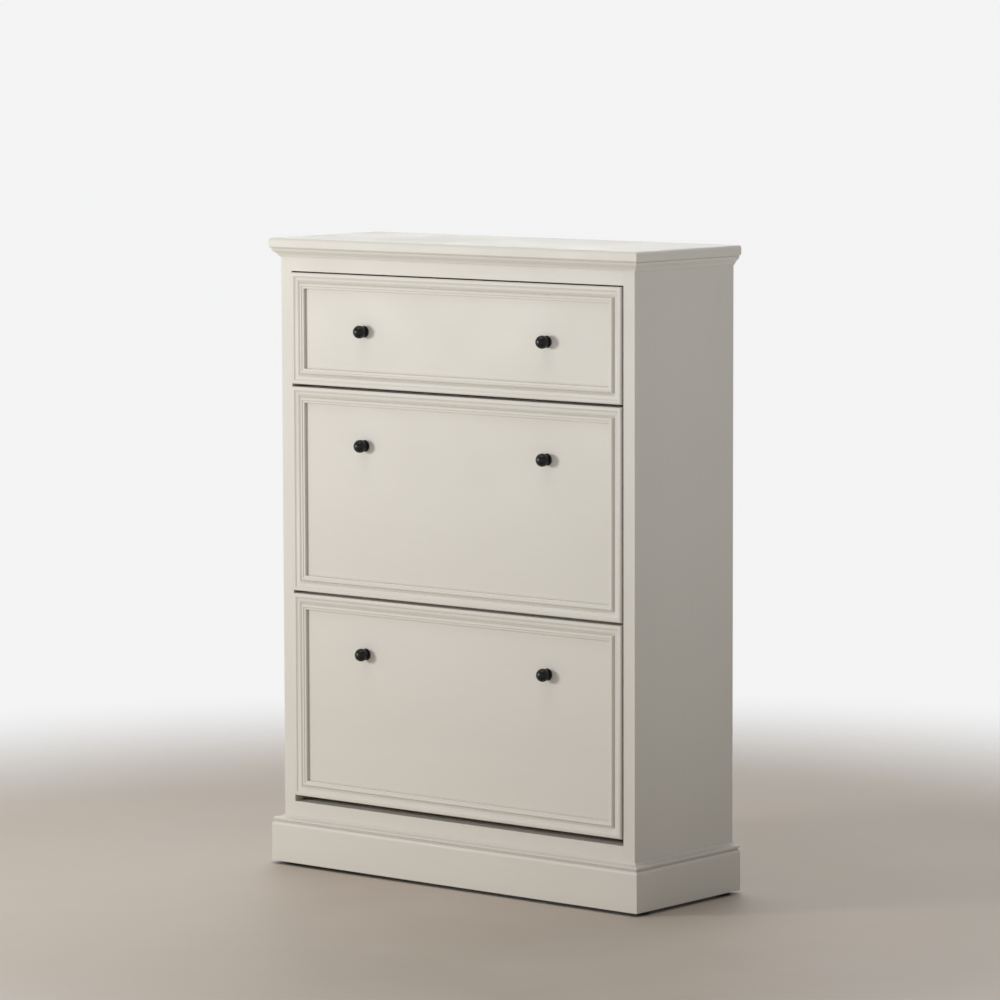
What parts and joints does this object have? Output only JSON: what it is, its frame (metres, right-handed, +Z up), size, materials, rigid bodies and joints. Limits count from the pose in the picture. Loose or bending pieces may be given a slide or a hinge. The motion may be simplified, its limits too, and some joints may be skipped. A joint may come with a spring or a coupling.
{
  "type": "shoe cabinet",
  "caption": "Tall shallow painted shoe cabinet: moulded top and plinth, a shallow drawer over tip-down flaps that carry two-row shoe bins.",
  "frame": {"origin": "under the middle of the whole cabinet, on the floor", "axes": "+Z up, -Y towards the person in front, +X to that person's right"},
  "size_m": [0.8, 0.2824, 1.078],
  "materials": {
    "greige_paint": "satin greige paint on board",
    "inside_paint": "matt greige foil and paint on board",
    "black_knob": "satin black powder coat",
    "zinc_steel": "bright zinc plating",
    "beech": "raw planed beech",
    "glide_plastic": "moulded black plastic"
  },
  "bodies": {
    "carcass": {"top_board": "greige_paint", "top_rail": "greige_paint", "bottom_rail": "greige_paint", "crown_front": "greige_paint", "crown_left": "greige_paint", "crown_right": "greige_paint", "plinth_front": "greige_paint", "plinth_left": "greige_paint", "plinth_right": "greige_paint", "stile_left": "greige_paint", "side_panel_left": "greige_paint", "stile_right": "greige_paint", "side_panel_right": "greige_paint", "bottom_board": "inside_paint", "back_panel": "inside_paint", "back_rail": "inside_paint", "flap_shelf": "inside_paint", "drawer_shelf": "inside_paint", "wall_bracket": "zinc_steel", "slide_outer_left": "zinc_steel", "slide_outer_right": "zinc_steel", "slide_packer_left": "beech", "slide_packer_right": "beech", "glide_front_left": "glide_plastic", "glide_front_right": "glide_plastic", "glide_rear_left": "glide_plastic", "glide_rear_right": "glide_plastic"},
    "drawer": {"drawer_front": "greige_paint", "drawer_moulding": "greige_paint", "drawer_side_left": "inside_paint", "drawer_side_right": "inside_paint", "drawer_bottom": "inside_paint", "drawer_back": "inside_paint", "drawer_knob_left": "black_knob", "drawer_knob_right": "black_knob", "slide_inner_left": "zinc_steel", "slide_inner_right": "zinc_steel"},
    "slide_middle_left": {"slide_middle_left": "zinc_steel"},
    "slide_middle_right": {"slide_middle_right": "zinc_steel"},
    "flap_upper": {"upper_flap_front": "greige_paint", "upper_flap_moulding": "greige_paint", "upper_bin_cheek_left": "inside_paint", "upper_bin_cheek_right": "inside_paint", "upper_bin_tray": "inside_paint", "upper_bin_divider": "inside_paint", "upper_knob_left": "black_knob", "upper_knob_right": "black_knob", "upper_pivot_pin_left": "zinc_steel", "upper_pivot_pin_right": "zinc_steel"},
    "flap_lower": {"lower_flap_front": "greige_paint", "lower_flap_moulding": "greige_paint", "lower_bin_cheek_left": "inside_paint", "lower_bin_cheek_right": "inside_paint", "lower_bin_tray": "inside_paint", "lower_bin_divider": "inside_paint", "lower_knob_left": "black_knob", "lower_knob_right": "black_knob", "lower_pivot_pin_left": "zinc_steel", "lower_pivot_pin_right": "zinc_steel"}
  },
  "joints": [
    {"name": "drawer_slide", "type": "slide", "parent": "carcass", "child": "drawer", "axis": [0, -1, 0], "range_m": [0, 0.19]},
    {"name": "slide_middle_left_travel", "type": "slide", "parent": "carcass", "child": "slide_middle_left", "axis": [0, -1, 0], "range_m": [0, 0.095]},
    {"name": "slide_middle_right_travel", "type": "slide", "parent": "carcass", "child": "slide_middle_right", "axis": [0, -1, 0], "range_m": [0, 0.095]},
    {"name": "upper_flap_tilt", "type": "hinge", "parent": "carcass", "child": "flap_upper", "pos_m": [0, -0.10975, 0.5355], "axis": [1, 0, 0], "range_deg": [0, 42]},
    {"name": "lower_flap_tilt", "type": "hinge", "parent": "carcass", "child": "flap_lower", "pos_m": [0, -0.10975, 0.181], "axis": [1, 0, 0], "range_deg": [0, 42]}
  ],
  "couplings": [
    {"joint": "slide_middle_left_travel", "follows": "drawer_slide", "ratio": 0.5},
    {"joint": "slide_middle_right_travel", "follows": "drawer_slide", "ratio": 0.5}
  ]
}
